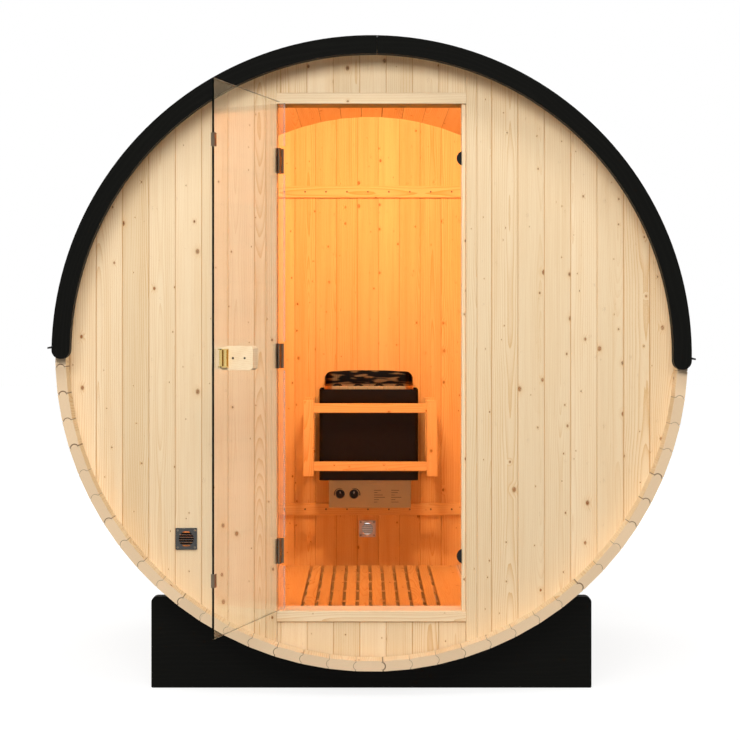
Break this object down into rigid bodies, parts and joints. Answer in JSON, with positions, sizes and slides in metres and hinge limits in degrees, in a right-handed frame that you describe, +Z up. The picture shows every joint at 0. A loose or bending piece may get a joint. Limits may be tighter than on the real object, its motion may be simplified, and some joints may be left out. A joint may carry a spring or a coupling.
{
  "type": "barrel sauna",
  "caption": "Round timber sauna cabin of bead-and-cove staves on two cradles, with a half-round roof, an open glass door and a guarded wall heater inside.",
  "frame": {"origin": "on the ground under the middle of the front cradle", "axes": "+X to the right as seen from the door side, +Y along the barrel's axis from the door towards the back wall, +Z up"},
  "size_m": [1.8754, 2.3429, 1.9098],
  "materials": {
    "pine": "planed, unfinished",
    "black_wood": "black stained, satin",
    "roofing": "mineral-faced bitumen, matt",
    "black_metal": "black satin paint",
    "black_plastic": "matt",
    "steel": "brushed",
    "element_steel": "heat darkened",
    "brass": "polished",
    "glass": "clear toughened"
  },
  "bodies": {
    "cabin": {"front_cradle": "black_wood", "rear_cradle": "black_wood", "bottom_staves": "pine", "left_staves": "pine", "right_staves": "pine", "top_staves": "pine", "barrel_bands": "steel", "front_wall_left": "pine", "front_wall_right": "pine", "front_wall_top": "pine", "front_wall_bottom": "pine", "back_wall": "pine", "back_wall_battens": "pine", "door_post_left": "pine", "door_post_right": "pine", "door_head": "pine", "door_sill": "pine", "door_stop": "pine", "hinge_brackets": "steel", "door_catches": "black_plastic", "roof_cover": "roofing", "roof_drips": "black_metal", "front_arc_left": "black_wood", "front_arc_right": "black_wood", "rear_arc_left": "black_wood", "rear_arc_right": "black_wood", "floor_joists": "pine", "floor_slats": "pine", "front_vent": "steel", "back_vent": "steel", "heater_case": "black_metal", "heater_shield": "element_steel", "heater_elements": "element_steel", "heater_control": "steel", "guard_posts": "pine", "guard_front_rails": "pine", "guard_side_rails": "pine"},
    "door": {"door_glass": "glass", "hinge_clamps": "steel", "glass_clips": "steel", "handle_block": "pine", "roller_catch": "brass"},
    "thermostat": {"thermostat_knob": "black_plastic"},
    "timer": {"timer_knob": "black_plastic"}
  },
  "joints": [
    {"name": "door_hinge", "type": "hinge", "parent": "cabin", "child": "door", "pos_m": [-0.268, -0.112, 0.983], "axis": [0, 0, 1], "range_deg": [-34, 106]},
    {"name": "thermostat_turn", "type": "hinge", "parent": "cabin", "child": "thermostat", "pos_m": [-0.1105, 1.331, 0.459], "axis": [0, 1, 0], "range_deg": [0, 270]},
    {"name": "timer_turn", "type": "hinge", "parent": "cabin", "child": "timer", "pos_m": [-0.0595, 1.331, 0.459], "axis": [0, 1, 0], "range_deg": [0, 300]}
  ]
}
